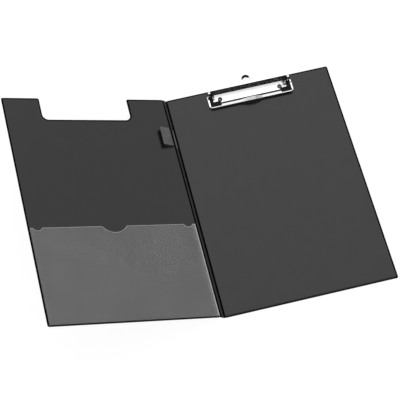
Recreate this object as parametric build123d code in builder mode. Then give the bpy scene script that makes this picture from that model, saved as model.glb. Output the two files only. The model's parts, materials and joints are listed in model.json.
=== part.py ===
from build123d import *
import math
import os

# Foolscap clipboard folder, shown open with its cover raised on the spine.
# Millimetres, +Z up. The origin is the centre of the board's back face, X runs away from the
# spine and Y towards the clip. Left and right are as seen from above with the clip at the top.

# Driving dimensions of the three welded panels
board_w = 236.0
cover_w = 236.0
panel_h = 345.0
spine_w = 7.5
film_t = 0.3
board_core_t = 2.6
cover_core_t = 2.0
spine_core_t = 0.6
weld_rim = 1.5
fold_rim = 1.0
spine_rim = 1.1
corner_r = 2.5
core_edge_r = 0.5
spine_edge_r = 0.25
fold_half_gap = 0.5

# How far the folder stands open: slope of the spine and of the cover above the table
spine_tilt = 47.5
cover_tilt = 22.8

# Notch in the cover that the clip passes through when the folder is shut
notch_near = 55.0
notch_w = 127.8
notch_depth = 35.1
notch_floor_r = 8.5

# Document pocket on the inside of the cover
pocket_side_gap = 2.0
pocket_foot_gap = 1.3
pocket_h = 138.6
pocket_film_t = 0.25
pocket_slot_t = 0.55
pocket_weld_w = 1.5
thumb_cut_w = 34.0
thumb_cut_depth = 9.4
corner_cut_w = 12.5
corner_cut_depth = 4.0
corner_cut_from_end = 10.5

# Pen loop beside the spine
loop_length = 29.0
loop_from_top = 65.5
loop_reach = 15.8
loop_h = 6.4
loop_foot_h = 1.0
loop_film_t = 0.45
loop_nose_r = 2.4
loop_from_fold = 1.9

# Clip: how far its own Y = 0 lies inside the board's top edge
clip_setback = 0.5

# Clip base plate, with its upright flange at the back
plate_t = 0.8
plate_front_y = -22.6
flange_foot_y = -9.2
flange_lean = 1.5
flange_h = 11.0
bend_r = 0.9
ear_t = 1.2
ear_r = 2.8
ear_gap = 0.4
plate_side_lead = 1.0
pivot_y = -10.7
pivot_z = 9.0

# Pivot pins and rivets
pin_r = 1.1
pin_head_r = 1.8
pin_head_t = 0.8
pin_past_coil = 1.5
rivet_from_side = 17.9
rivet_y = -17.8
rivet_shank_r = 1.5
rivet_head_r = 3.5
rivet_head_h = 1.3
rivet_dimple_r = 1.4
rivet_dimple_depth = 0.9
washer_r = 3.4
washer_t = 0.5

# Hanging tab behind the flange
tab_w = 11.8
tab_root_w = 24.0
tab_root_y = 1.0
tab_hole_y = 6.6
tab_hole_r = 3.0
tab_rim_w = 1.7
tab_rim_h = 1.6
tab_flare = 1.3
tab_foot_h = 6.0

# Sprung jaw: a stamped frame, hinged at the back
jaw_half_w = 61.2
jaw_rail_w = 2.4
jaw_rear_y = -11.0
jaw_front_y = -31.8
jaw_lip_w = 4.2
jaw_top_z = 4.0
jaw_foot_z = 0.45
jaw_t = 0.9
jaw_corner_r = 5.0
jaw_tail_r = 1.6
jaw_edge_r = 1.0
lug_from_side = 3.6
lug_foot_run = 3.0
lift_foot_w = 32.0
lift_top_w = 10.0
lift_rise = 2.6
lift_reach = 1.8
lift_knee_r = 7.0

# Rubber pads in the front corners of the jaw
pad_side_w = 3.9
pad_front_w = 8.0
pad_front_length = 14.2
pad_rear_y = -12.5
pad_foot_z = 0.3
pad_lip_w = 1.9

# Torsion springs round the pivot pins
wire_d = 1.0
coil_clear = 0.3
coil_pitch = 1.6
coil_turns = 2
coil_from_ear = 5.0
fixed_leg_lean = 16.0
jaw_leg_slope = 37.0
leg_end_from_side = 0.8
leg_bend_r = 1.2

# Clearances
running = 0.05
snug = 0.02
apart = 0.3

# Drawing allowances: least corner radius and tolerance of a pick
least_corner_r = 0.4
pick = 0.01

# Worked-out sizes
board_t = board_core_t + 2 * film_t
cover_top = cover_core_t + film_t
lug_inner_x = jaw_half_w - lug_from_side
rail_inner_x = jaw_half_w - jaw_rail_w
lug_foot_y = pad_rear_y - lug_foot_run
lug_outer_x = lug_inner_x + ear_t
ear_outer_x = lug_inner_x - ear_gap
ear_inner_x = ear_outer_x - ear_t
rivet_x = jaw_half_w - rivet_from_side
coil_inner_x = ear_inner_x - coil_from_ear
leg_reach_x = jaw_half_w - leg_end_from_side
jaw_inner_y = jaw_front_y + jaw_lip_w
pad_inner_y = jaw_front_y + pad_lip_w
pad_inner_x = lug_inner_x - pad_side_w
pad_end_x = lug_inner_x - pad_front_length
pad_top_y = pad_inner_y + pad_front_w
coil_r = pin_r + coil_clear + wire_d / 2

# Planes: each panel's own plane is where its two films are welded together
spine_out = Vector(math.cos(math.radians(spine_tilt)), 0, -math.sin(math.radians(spine_tilt)))
spine_up = Vector(math.sin(math.radians(spine_tilt)), 0, math.cos(math.radians(spine_tilt)))
cover_out = Vector(math.cos(math.radians(cover_tilt)), 0, -math.sin(math.radians(cover_tilt)))
cover_up = Vector(math.sin(math.radians(cover_tilt)), 0, math.cos(math.radians(cover_tilt)))
board_fold = Vector(-board_w / 2, 0, film_t)
cover_fold = board_fold - spine_out * spine_w
board_plane = Plane(board_fold, x_dir=(1, 0, 0), z_dir=(0, 0, 1))
spine_plane = Plane(board_fold, x_dir=spine_out, z_dir=spine_up)
cover_plane = Plane(cover_fold, x_dir=cover_out, z_dir=cover_up)
cover_face = cover_plane.offset(cover_top)

# The clip's own plane lies on the board, with Y = 0 just inside the board's top edge
clip_origin = Vector(0, panel_h / 2 - clip_setback, board_t)
clip_plane = Plane(clip_origin)
clip_side = Plane(clip_origin, x_dir=(0, 1, 0), z_dir=(1, 0, 0))
clip_front = Plane(clip_origin, x_dir=(1, 0, 0), z_dir=(0, -1, 0))


def panel_outline(x_low, x_high, end_inset):
    """Plain panel between two lengthwise edges, drawn smaller by an inset at its ends."""
    with BuildSketch() as outline:
        with Locations(((x_low + x_high) / 2, 0)):
            RectangleRounded(
                x_high - x_low,
                panel_h - 2 * end_inset,
                max(corner_r - end_inset, least_corner_r),
            )
    return outline.sketch


def cover_outline(inset, fold_inset):
    """Cover with the clip notch in its top edge, drawn smaller by an inset, and one at the fold."""
    low = -cover_w + inset
    high = -fold_half_gap - fold_inset
    top = panel_h / 2 - inset
    floor = panel_h / 2 - notch_depth - inset
    notch_low = -notch_near - notch_w - inset
    notch_high = -notch_near + inset
    with BuildSketch() as outline:
        with BuildLine():
            Polyline(
                (low, -top),
                (high, -top),
                (high, top),
                (notch_high, top),
                (notch_high, floor),
                (notch_low, floor),
                (notch_low, top),
                (low, top),
                close=True,
            )
        make_face()
        floor_corners = outline.vertices().filter_by_position(Axis.Y, floor - pick, floor + pick)
        fillet(floor_corners, radius=notch_floor_r + inset)
        ends = outline.vertices().filter_by_position(Axis.Y, top - pick, top + pick)
        ends += outline.vertices().filter_by_position(Axis.Y, -top - pick, -top + pick)
        fillet(ends, radius=max(corner_r - inset, least_corner_r))
    return outline.sketch


def welded_film(plane, whole, raised, core, core_t, edge_r):
    """Inner film: welded flat round the edge and drawn up over the card in the middle."""
    with BuildPart() as film:
        with BuildSketch(plane):
            add(whole)
        extrude(amount=film_t)
        with BuildSketch(plane):
            add(raised)
        extrude(amount=core_t + film_t)
        fillet(film.faces().sort_by(Axis(plane.origin, plane.z_dir))[-1].outer_wire().edges(), edge_r)
        add(core, mode=Mode.SUBTRACT)
    return film.part


def rivet_holes(radius, start, depth):
    """Two round cutters on the rivet axes, from a height above the board downwards."""
    with BuildPart() as cutters:
        with BuildSketch(clip_plane.offset(start)):
            with Locations((-rivet_x, rivet_y), (rivet_x, rivet_y)):
                Circle(radius)
        extrude(amount=-depth)
    return cutters.part


# Board: greyboard core between two welded films
board_low = fold_half_gap
board_whole = panel_outline(board_low, board_w, 0)
board_raised = panel_outline(
    board_low + fold_rim - film_t, board_w - weld_rim + film_t, weld_rim - film_t
)
board_card = panel_outline(board_low + fold_rim, board_w - weld_rim, weld_rim)

with BuildPart() as board_outer_film:
    with BuildSketch(board_plane):
        add(board_whole)
    extrude(amount=-film_t)
board_outer_film.part.label = "board_outer_film"

with BuildPart() as board_blank:
    with BuildSketch(board_plane):
        add(board_card)
    extrude(amount=board_core_t)
    fillet(board_blank.faces().sort_by(Axis.Z)[-1].outer_wire().edges(), core_edge_r)

with BuildPart() as board_core:
    add(board_blank.part)
    add(rivet_holes(rivet_shank_r + running, 0, board_t), mode=Mode.SUBTRACT)
    add(
        rivet_holes(washer_r + running, -film_t - board_core_t + washer_t, board_t),
        mode=Mode.SUBTRACT,
    )
board_core.part.label = "board_core"

with BuildPart() as board_inner_film:
    add(
        welded_film(
            board_plane,
            board_whole,
            board_raised,
            board_blank.part,
            board_core_t,
            core_edge_r + film_t,
        )
    )
    add(rivet_holes(rivet_shank_r + running, plate_t, board_t), mode=Mode.SUBTRACT)
board_inner_film.part.label = "board_inner_film"

# Spine: a narrow card strip between the same two films
spine_low = -spine_w + fold_half_gap
spine_high = -fold_half_gap
spine_whole = panel_outline(spine_low, spine_high, 0)
spine_raised = panel_outline(
    spine_low + spine_rim - film_t, spine_high - spine_rim + film_t, weld_rim - film_t
)
spine_card = panel_outline(spine_low + spine_rim, spine_high - spine_rim, weld_rim)

with BuildPart() as spine_outer_film:
    with BuildSketch(spine_plane):
        add(spine_whole)
    extrude(amount=-film_t)
spine_outer_film.part.label = "spine_outer_film"

with BuildPart() as spine_core:
    with BuildSketch(spine_plane):
        add(spine_card)
    extrude(amount=spine_core_t)
    fillet(
        spine_core.faces().sort_by(Axis(spine_plane.origin, spine_plane.z_dir))[-1].outer_wire().edges(),
        spine_edge_r,
    )
spine_core.part.label = "spine_core"

spine_inner_film = welded_film(
    spine_plane, spine_whole, spine_raised, spine_core.part, spine_core_t, spine_edge_r + film_t
)
spine_inner_film.label = "spine_inner_film"

# Cover: the same build, with the clip notch in its top edge
with BuildPart() as cover_outer_film:
    with BuildSketch(cover_plane):
        add(cover_outline(0, 0))
    extrude(amount=-film_t)
cover_outer_film.part.label = "cover_outer_film"

with BuildPart() as cover_core:
    with BuildSketch(cover_plane):
        add(cover_outline(weld_rim, fold_rim))
    extrude(amount=cover_core_t)
    fillet(
        cover_core.faces().sort_by(Axis(cover_plane.origin, cover_plane.z_dir))[-1].outer_wire().edges(),
        core_edge_r,
    )
cover_core.part.label = "cover_core"

cover_inner_film = welded_film(
    cover_plane,
    cover_outline(0, 0),
    cover_outline(weld_rim - film_t, fold_rim - film_t),
    cover_core.part,
    cover_core_t,
    core_edge_r + film_t,
)
cover_inner_film.label = "cover_inner_film"

# Document pocket: a shallow welded tray of clear film, open at its top edge
pocket_low = -cover_w + pocket_side_gap
pocket_high = -pocket_side_gap
pocket_foot = -panel_h / 2 + pocket_foot_gap
pocket_top = pocket_foot + pocket_h


def edge_cut(x, width, depth):
    """Circle that cuts an arc of a given width and depth into the pocket's top edge."""
    radius = ((width / 2) ** 2 + depth**2) / (2 * depth)
    with Locations((x, pocket_top + radius - depth)):
        Circle(radius, mode=Mode.SUBTRACT)


with BuildPart() as document_pocket:
    with BuildSketch(cover_face):
        with Locations(((pocket_low + pocket_high) / 2, (pocket_foot + pocket_top) / 2)):
            Rectangle(pocket_high - pocket_low, pocket_top - pocket_foot)
        edge_cut((pocket_low + pocket_high) / 2, thumb_cut_w, thumb_cut_depth)
        edge_cut(pocket_low + corner_cut_from_end, corner_cut_w, corner_cut_depth)
        edge_cut(pocket_high - corner_cut_from_end, corner_cut_w, corner_cut_depth)
    extrude(amount=pocket_slot_t + pocket_film_t)
    with BuildSketch(cover_face):
        with Locations(((pocket_low + pocket_high) / 2, (pocket_foot + pocket_top) / 2 + pocket_weld_w)):
            Rectangle(pocket_high - pocket_low - 2 * pocket_weld_w, pocket_top - pocket_foot)
    extrude(amount=pocket_slot_t, mode=Mode.SUBTRACT)
document_pocket.part.label = "document_pocket"

# Pen loop: a band of film folded back on itself, open at both ends
loop_middle_y = panel_h / 2 - loop_from_top
loop_plane = Plane(
    cover_face.from_local_coords(Vector(-loop_from_fold, loop_middle_y, 0)),
    x_dir=cover_out,
    z_dir=(0, -1, 0),
)
with BuildPart() as pen_loop:
    with BuildSketch(loop_plane) as loop_section:
        with BuildLine():
            Polyline((0, 0), (-loop_reach, 0), (-loop_reach, loop_h), (0, loop_foot_h), close=True)
        make_face()
        fillet(loop_section.vertices().group_by(Axis.X)[0], radius=loop_nose_r)
        offset(loop_section.face(), amount=-loop_film_t, mode=Mode.SUBTRACT)
    extrude(amount=loop_length / 2, both=True)
pen_loop.part.label = "pen_loop"

# Clip base plate: riveted flat on the board, bent up into a flange that carries two ears
side_cut_x = pad_inner_x - apart
corner_cut_x = pad_end_x - apart
side_cut_y = pad_rear_y + plate_side_lead
corner_cut_y = pad_top_y + apart

with BuildPart() as clip_base_plate:
    with BuildSketch(clip_side) as bent_section:
        with BuildLine():
            Polyline(
                (plate_front_y, 0),
                (flange_foot_y + plate_t, 0),
                (flange_foot_y + flange_lean + plate_t, flange_h),
                (flange_foot_y + flange_lean, flange_h),
                (flange_foot_y, plate_t),
                (plate_front_y, plate_t),
                close=True,
            )
        make_face()
        fillet(bent_section.vertices().sort_by_distance((flange_foot_y, plate_t))[0], radius=bend_r)
        fillet(
            bent_section.vertices().sort_by_distance((flange_foot_y + plate_t, 0))[0],
            radius=bend_r + plate_t,
        )
    extrude(amount=ear_outer_x, both=True)
    with BuildSketch(clip_plane):
        with Locations((side_cut_x, side_cut_y)):
            Rectangle(ear_outer_x, -plate_front_y, align=(Align.MIN, Align.MAX))
        with Locations((-side_cut_x, side_cut_y)):
            Rectangle(ear_outer_x, -plate_front_y, align=(Align.MAX, Align.MAX))
        with Locations((corner_cut_x, corner_cut_y)):
            Rectangle(ear_outer_x, -plate_front_y, align=(Align.MIN, Align.MAX))
        with Locations((-corner_cut_x, corner_cut_y)):
            Rectangle(ear_outer_x, -plate_front_y, align=(Align.MAX, Align.MAX))
    extrude(amount=plate_t, mode=Mode.SUBTRACT)
    for ear_start in (ear_inner_x, -ear_outer_x):
        with BuildSketch(clip_side.offset(ear_start)):
            with Locations((pivot_y, pivot_z)):
                Circle(ear_r)
            with Locations((pivot_y, pivot_z - ear_r)):
                Rectangle(
                    flange_foot_y + flange_lean - pivot_y,
                    flange_h - pivot_z + ear_r,
                    align=(Align.MIN, Align.MIN),
                )
        extrude(amount=ear_t)
    with BuildSketch(clip_side):
        with Locations((pivot_y, pivot_z)):
            Circle(pin_r + snug)
    extrude(amount=jaw_half_w, both=True, mode=Mode.SUBTRACT)
    add(rivet_holes(rivet_shank_r + running, plate_t, plate_t), mode=Mode.SUBTRACT)
clip_base_plate.part.label = "clip_base_plate"

# Hanging tab: an angle spot-welded to the back of the flange, with a hole past the board's edge
tab_front_y = flange_foot_y + plate_t + bend_r + plate_t
tab_end_r = tab_w / 2
tab_lean = flange_lean / (flange_h - plate_t)

with BuildPart() as hanging_tab:
    with BuildSketch(clip_plane) as tab_plan:
        with Locations((0, tab_hole_y)):
            Circle(tab_end_r)
            Rectangle(tab_w, tab_hole_y - tab_root_y, align=(Align.CENTER, Align.MAX))
        with Locations((0, tab_root_y)):
            Rectangle(tab_root_w, tab_root_y - tab_front_y, align=(Align.CENTER, Align.MAX))
        root_corners = tab_plan.vertices().filter_by_position(Axis.X, -tab_end_r - pick, tab_end_r + pick)
        fillet(root_corners.group_by(Axis.Y)[0], radius=tab_end_r / 2)
        with Locations((0, tab_hole_y)):
            Circle(tab_hole_r, mode=Mode.SUBTRACT)
    extrude(amount=plate_t)
    with BuildSketch(clip_plane.offset(plate_t)):
        with Locations((0, tab_hole_y)):
            Circle(tab_end_r)
            Circle(tab_end_r - tab_rim_w, mode=Mode.SUBTRACT)
            Rectangle(tab_w, tab_w, align=(Align.CENTER, Align.MAX), mode=Mode.SUBTRACT)
    extrude(amount=tab_rim_h)
    rim_edges = hanging_tab.edges().group_by(Axis.Z)[-1].filter_by(GeomType.CIRCLE)
    chamfer(rim_edges.sort_by(SortBy.RADIUS)[0], length=tab_flare)
    with BuildSketch(clip_side):
        with BuildLine():
            Polyline(
                (tab_front_y, 0),
                (tab_front_y + plate_t, 0),
                (flange_foot_y + plate_t + tab_lean * tab_foot_h + plate_t, tab_foot_h),
                (flange_foot_y + plate_t + tab_lean * tab_foot_h, tab_foot_h),
                close=True,
            )
        make_face()
    extrude(amount=tab_root_w / 2, both=True)
hanging_tab.part.label = "hanging_tab"

# Pivot pins: one through each pair of ears, headed over outside the jaw, carrying the spring inside
pin_end_x = lug_outer_x + apart
pin_inner_x = coil_inner_x - pin_past_coil


def pivot_pin(side):
    """Pin on the pivot line, from inside the spring's coil to its head outside the jaw."""
    with BuildPart() as pin:
        for start, run, radius in (
            (pin_inner_x, pin_end_x - pin_inner_x, pin_r),
            (pin_end_x, pin_head_t, pin_head_r),
        ):
            with BuildSketch(clip_side.offset(side * start)):
                with Locations((pivot_y, pivot_z)):
                    Circle(radius)
            extrude(amount=side * run)
    return pin.part


left_pin = pivot_pin(-1)
right_pin = pivot_pin(1)


def rivet(x):
    """Domed tubular rivet from the top of the plate down to the underside of the card."""
    with BuildPart() as one_rivet:
        with BuildSketch(clip_plane.offset(plate_t)):
            with Locations((x, rivet_y)):
                Circle(rivet_head_r)
        extrude(amount=rivet_head_h)
        fillet(one_rivet.faces().sort_by(Axis.Z)[-1].outer_wire().edges(), rivet_head_h - apart)
        with BuildSketch(clip_plane.offset(plate_t)):
            with Locations((x, rivet_y)):
                Circle(rivet_shank_r)
        extrude(amount=-plate_t - board_t + film_t)
        with BuildSketch(clip_plane.offset(plate_t + rivet_head_h)):
            with Locations((x, rivet_y)):
                Circle(rivet_dimple_r)
        extrude(amount=-rivet_dimple_depth, mode=Mode.SUBTRACT)
    return one_rivet.part


def washer(x):
    """Backing washer let into the underside of the card, under the outer film."""
    with BuildPart() as one_washer:
        with BuildSketch(clip_plane.offset(film_t - board_t)):
            with Locations((x, rivet_y)):
                Circle(washer_r)
                Circle(rivet_shank_r + snug, mode=Mode.SUBTRACT)
        extrude(amount=washer_t)
    return one_washer.part


left_rivet = rivet(-rivet_x)
right_rivet = rivet(rivet_x)
left_washer = washer(-rivet_x)
right_washer = washer(rivet_x)

# Jaw: front lip, side rails and lugs pressed from one sheet, arched in the middle to lift it
def jaw_plan(inset, full_window):
    """Plan of the jaw frame and its finger tongue, its outer edge drawn in by an inset."""
    side = jaw_half_w - inset
    front = jaw_front_y + inset
    rear = jaw_rear_y - inset
    with BuildSketch() as plan:
        with BuildLine():
            Polyline(
                (-side, rear),
                (-side, front),
                (-lift_foot_w / 2, front),
                (-lift_top_w / 2, front - lift_reach),
                (lift_top_w / 2, front - lift_reach),
                (lift_foot_w / 2, front),
                (side, front),
                (side, rear),
                close=True,
            )
        make_face()
        fillet(plan.vertices().group_by(Axis.Y)[-1], radius=jaw_tail_r - inset)
        for corner_x in (-side, side):
            fillet(
                plan.vertices().sort_by_distance((corner_x, front))[0], radius=jaw_corner_r - inset
            )
        knees = plan.vertices().filter_by_position(Axis.X, -lift_foot_w / 2 - pick, lift_foot_w / 2 + pick)
        fillet(knees, radius=lift_knee_r)
        if full_window:
            with Locations((0, jaw_inner_y)):
                Rectangle(
                    2 * lug_inner_x, -jaw_inner_y, align=(Align.CENTER, Align.MIN), mode=Mode.SUBTRACT
                )
            for edge, align in ((-rail_inner_x, Align.MIN), (rail_inner_x, Align.MAX)):
                with Locations((edge, pad_inner_y)):
                    Rectangle(
                        rail_inner_x - pad_end_x,
                        lug_foot_y - pad_inner_y,
                        align=(align, Align.MIN),
                        mode=Mode.SUBTRACT,
                    )
    return plan.sketch


def lift_band(low, high):
    """Front view of the jaw: a level band that arches up in the middle."""
    with BuildSketch() as band:
        with BuildLine():
            Polyline(
                (-jaw_half_w, low),
                (-lift_foot_w / 2, low),
                (-lift_top_w / 2, low + lift_rise),
                (lift_top_w / 2, low + lift_rise),
                (lift_foot_w / 2, low),
                (jaw_half_w, low),
                (jaw_half_w, high),
                (lift_foot_w / 2, high),
                (lift_top_w / 2, high + lift_rise),
                (-lift_top_w / 2, high + lift_rise),
                (-lift_foot_w / 2, high),
                (-jaw_half_w, high),
                close=True,
            )
        make_face()
        knees = band.vertices().filter_by_position(Axis.X, -lift_foot_w / 2 - pick, lift_foot_w / 2 + pick)
        fillet(knees, radius=lift_knee_r)
    return band.sketch


with BuildPart() as jaw_hollow:
    with BuildSketch(clip_plane):
        add(jaw_plan(jaw_t, False))
    extrude(amount=jaw_top_z + lift_rise)
    with BuildSketch(clip_front):
        add(lift_band(0, jaw_top_z - jaw_t))
    extrude(amount=lift_reach - jaw_front_y, mode=Mode.INTERSECT)

with BuildPart() as clip_jaw:
    with BuildSketch(clip_plane):
        add(jaw_plan(0, True))
    extrude(amount=jaw_top_z + lift_rise)
    with BuildSketch(clip_front):
        add(lift_band(jaw_foot_z, jaw_top_z))
    extrude(amount=lift_reach - jaw_front_y, mode=Mode.INTERSECT)
    top_z = clip_origin.Z + jaw_top_z
    top_edges = clip_jaw.edges().filter_by_position(Axis.Z, top_z - pick, top_z + lift_rise + pick)
    front_edge_y = clip_origin.Y + jaw_front_y + pick
    rear_edge_y = clip_origin.Y + jaw_rear_y - pick
    outer_edges = top_edges.filter_by(
        lambda e: abs(e.center().X) > rail_inner_x + pick
        or not front_edge_y < e.center().Y < rear_edge_y
    )
    fillet(outer_edges, radius=jaw_edge_r)
    add(jaw_hollow.part, mode=Mode.SUBTRACT)
    for lug_start in (lug_inner_x, -lug_outer_x):
        with BuildSketch(clip_side.offset(lug_start)):
            with Locations((pivot_y, pivot_z)):
                Circle(ear_r)
            with BuildLine():
                Polyline(
                    (pivot_y + ear_r, pivot_z),
                    (pivot_y - ear_r, pivot_z),
                    (lug_foot_y, jaw_top_z),
                    (lug_foot_y, jaw_top_z - jaw_t),
                    (jaw_rear_y - jaw_t, jaw_top_z - jaw_t),
                    (jaw_rear_y - jaw_t, jaw_top_z),
                    close=True,
                )
            make_face()
            with Locations((pivot_y, pivot_z)):
                Circle(pin_r + running, mode=Mode.SUBTRACT)
        extrude(amount=ear_t)
clip_jaw.part.label = "clip_jaw"


def corner_pad(side):
    """Rubber corner pad: an L under the jaw's corner, standing up inside its window."""
    outer_x = jaw_half_w - jaw_t
    outer_y = jaw_front_y + jaw_t
    with BuildPart() as pad:
        with BuildSketch(clip_plane.offset(pad_foot_z)) as foot:
            with BuildLine():
                Polyline(
                    (side * pad_inner_x, pad_rear_y),
                    (side * outer_x, pad_rear_y),
                    (side * outer_x, outer_y),
                    (side * pad_end_x, outer_y),
                    (side * pad_end_x, pad_top_y),
                    (side * pad_inner_x, pad_top_y),
                    close=True,
                )
            make_face()
            fillet(
                foot.vertices().sort_by_distance((side * outer_x, outer_y))[0],
                radius=jaw_corner_r - jaw_t,
            )
        extrude(amount=jaw_top_z - jaw_t - pad_foot_z)
        with BuildSketch(clip_plane.offset(jaw_top_z - jaw_t)):
            with BuildLine():
                Polyline(
                    (side * pad_inner_x, pad_rear_y),
                    (side * lug_inner_x, pad_rear_y),
                    (side * lug_inner_x, lug_foot_y),
                    (side * rail_inner_x, lug_foot_y),
                    (side * rail_inner_x, pad_inner_y),
                    (side * pad_end_x, pad_inner_y),
                    (side * pad_end_x, pad_top_y),
                    (side * pad_inner_x, pad_top_y),
                    close=True,
                )
            make_face()
        extrude(amount=jaw_t)
    return pad.part


left_corner_pad = corner_pad(-1)
left_corner_pad.label = "left_corner_pad"
right_corner_pad = corner_pad(1)
right_corner_pad.label = "right_corner_pad"


def coil_point(angle):
    """Point on the right-hand coil and its direction there."""
    along = coil_pitch / (2 * math.pi)
    point = clip_origin + Vector(
        coil_inner_x + along * angle,
        pivot_y + coil_r * math.cos(angle),
        pivot_z + coil_r * math.sin(angle),
    )
    heading = Vector(along, -coil_r * math.sin(angle), coil_r * math.cos(angle)).normalized()
    return point, heading


def biarc_joint(start, start_heading, end, end_heading):
    """Point and heading where two arcs meet that leave start and reach end along given headings."""
    chord = end - start
    both = start_heading + end_heading
    a = 2 * (start_heading.dot(end_heading) - 1)
    b = -2 * chord.dot(both)
    c = chord.dot(chord)
    reach = (-b - math.sqrt(b * b - 4 * a * c)) / (2 * a)
    first = start + start_heading * reach
    second = end - end_heading * reach
    return (first + second) / 2, (second - first).normalized()


def torsion_spring():
    """Right-hand spring: one leg on the plate, the coil, and a leg hooked over the jaw's rail."""
    first_angle = -math.radians(fixed_leg_lean)
    last_angle = 2 * math.pi * coil_turns + math.radians(180 - jaw_leg_slope)
    steps = 4 * coil_turns + 2
    turn = (last_angle - first_angle) / steps
    stops = [coil_point(first_angle + turn * k) for k in range(steps + 1)]
    coil_start = stops[0][0]
    coil_end = stops[-1][0]
    fixed_heading = Vector(0, -math.sin(first_angle), math.cos(first_angle))
    jaw_heading = Vector(0, -math.sin(last_angle), math.cos(last_angle))
    stops[0] = (coil_start, fixed_heading)
    stops[-1] = (coil_end, jaw_heading)
    foot_z = clip_origin.Z + plate_t + running + wire_d / 2 * fixed_heading.Y
    leg_rest_z = clip_origin.Z + jaw_top_z + wire_d / 2 + running
    foot = coil_start - fixed_heading * ((coil_start.Z - foot_z) / fixed_heading.Z)
    knee = coil_end + jaw_heading * ((leg_rest_z - coil_end.Z) / jaw_heading.Z)
    with BuildPart() as spring:
        with BuildLine() as wire:
            Line(foot, coil_start)
            for (start, start_heading), (end, end_heading) in zip(stops, stops[1:]):
                joint, joint_heading = biarc_joint(start, start_heading, end, end_heading)
                TangentArc(start, joint, tangent=start_heading)
                TangentArc(joint, end, tangent=joint_heading)
            FilletPolyline(coil_end, knee, (leg_reach_x, knee.Y, knee.Z), radius=leg_bend_r)
        with BuildSketch(Plane(foot, z_dir=fixed_heading)):
            Circle(wire_d / 2)
        sweep(path=wire.wires()[0])
    return spring.part, wire.wires()[0]


right_clip_spring, spring_wire = torsion_spring()
right_clip_spring.label = "right_clip_spring"
left_clip_spring = mirror(right_clip_spring, about=Plane.YZ)
left_clip_spring.label = "left_clip_spring"

# Least gap between turns of the coil, measured on points along the wire
sample_gap = wire_d / 6
sample_count = math.ceil(spring_wire.length / sample_gap)
samples = [spring_wire.position_at(k / sample_count) for k in range(sample_count + 1)]
skip = math.ceil(math.pi * coil_r / sample_gap)
least = min(
    (later - earlier).length
    for k, earlier in enumerate(samples)
    for later in samples[k + skip :]
)
print(f"least gap between turns of a clip spring: {least - wire_d:.2f} mm")
print(f"cover fold line at x {cover_fold.X:.2f}, z {cover_fold.Z:.2f}")

parts = [
    board_outer_film.part,
    board_core.part,
    board_inner_film.part,
    spine_outer_film.part,
    spine_core.part,
    spine_inner_film,
    cover_outer_film.part,
    cover_core.part,
    cover_inner_film,
    document_pocket.part,
    pen_loop.part,
    clip_base_plate.part,
    hanging_tab.part,
    clip_jaw.part,
    left_corner_pad,
    right_corner_pad,
    left_clip_spring,
    right_clip_spring,
]
named_pairs = {
    "clip_pivot_pins": (left_pin, right_pin),
    "clip_rivets": (left_rivet, right_rivet),
    "rivet_washers": (left_washer, right_washer),
}

os.makedirs("parts", exist_ok=True)
for piece in parts:
    export_step(piece, f"parts/{piece.label}.step")
for name, pair in named_pairs.items():
    group = Compound(label=name, children=list(pair))
    export_step(group, f"parts/{name}.step")
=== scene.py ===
import json
import math

import bmesh
import bpy
from bpy.props import FloatProperty, FloatVectorProperty, IntProperty, PointerProperty
from mathutils import Matrix, Vector


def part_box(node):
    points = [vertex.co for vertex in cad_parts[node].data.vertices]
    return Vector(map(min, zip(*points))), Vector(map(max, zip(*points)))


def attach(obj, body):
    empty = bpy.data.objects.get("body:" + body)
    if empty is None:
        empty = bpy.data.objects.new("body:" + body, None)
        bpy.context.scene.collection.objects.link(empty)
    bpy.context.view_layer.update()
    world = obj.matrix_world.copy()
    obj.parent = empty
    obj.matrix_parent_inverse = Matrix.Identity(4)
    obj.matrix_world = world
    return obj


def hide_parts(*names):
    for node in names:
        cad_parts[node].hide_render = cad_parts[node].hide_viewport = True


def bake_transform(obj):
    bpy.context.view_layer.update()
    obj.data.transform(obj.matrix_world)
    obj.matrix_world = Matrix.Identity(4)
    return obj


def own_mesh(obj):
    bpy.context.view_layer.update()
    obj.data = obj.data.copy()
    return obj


bl_info = {
    "name": "Clipboard Folder",
    "version": (1, 0, 0),
    "blender": (4, 5, 0),
    "location": "View3D > Sidebar > Clipboard",
    "description": "Dresses a fold-over clipboard in PVC, clear film, rubber and plated steel",
    "category": "Add Mesh",
}

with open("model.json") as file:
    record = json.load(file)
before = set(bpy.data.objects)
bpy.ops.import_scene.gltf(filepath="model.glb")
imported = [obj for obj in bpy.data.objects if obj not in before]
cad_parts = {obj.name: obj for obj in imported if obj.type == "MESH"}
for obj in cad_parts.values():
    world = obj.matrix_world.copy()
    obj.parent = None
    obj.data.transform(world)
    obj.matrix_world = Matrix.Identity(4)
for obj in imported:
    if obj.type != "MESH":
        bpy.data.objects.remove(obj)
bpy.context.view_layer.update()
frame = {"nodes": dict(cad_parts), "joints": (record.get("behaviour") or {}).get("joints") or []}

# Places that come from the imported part: its hinge lines, the spine's slope and three faces
hinge = {joint["name"]: Vector(joint["pos_m"]) for joint in frame["joints"]}
board_fold = hinge["spine_fold"]
cover_fold = hinge["cover_fold"]
jaw_pivot = hinge["jaw_hinge"]
across_spine = cover_fold - board_fold
spine_slope = math.atan2(across_spine.z, -across_spine.x)
_, panel_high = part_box("board_inner_film")
plate_low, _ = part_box("clip_base_plate")
jaw_low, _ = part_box("clip_jaw")
half_panel = panel_high.y
board_top = plate_low.z
jaw_front = jaw_low.y

# Distances within which points are taken as one, as level or as being on an edge
merging = 1e-6
level = 1e-7
touching = 1e-5

# Pen loop: shares of its reach, with heights as half films below and as shares of its top above
loop_underside = ((0, 1), (0.35, 1), (0.62, 1), (0.68, 2))
loop_crown = (
    (0.8, 0.9),
    (0.6, 0.75),
    (0.4, 0.6),
    (0.25, 0.53),
    (0.13, 0.5),
    (0.06, 0.42),
    (0.02, 0.27),
)


def field(kind, **settings):
    """A way to add sizes or looks of one kind that a user may change."""
    return lambda description, default: kind(
        description=description, default=default, **settings
    )


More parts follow.
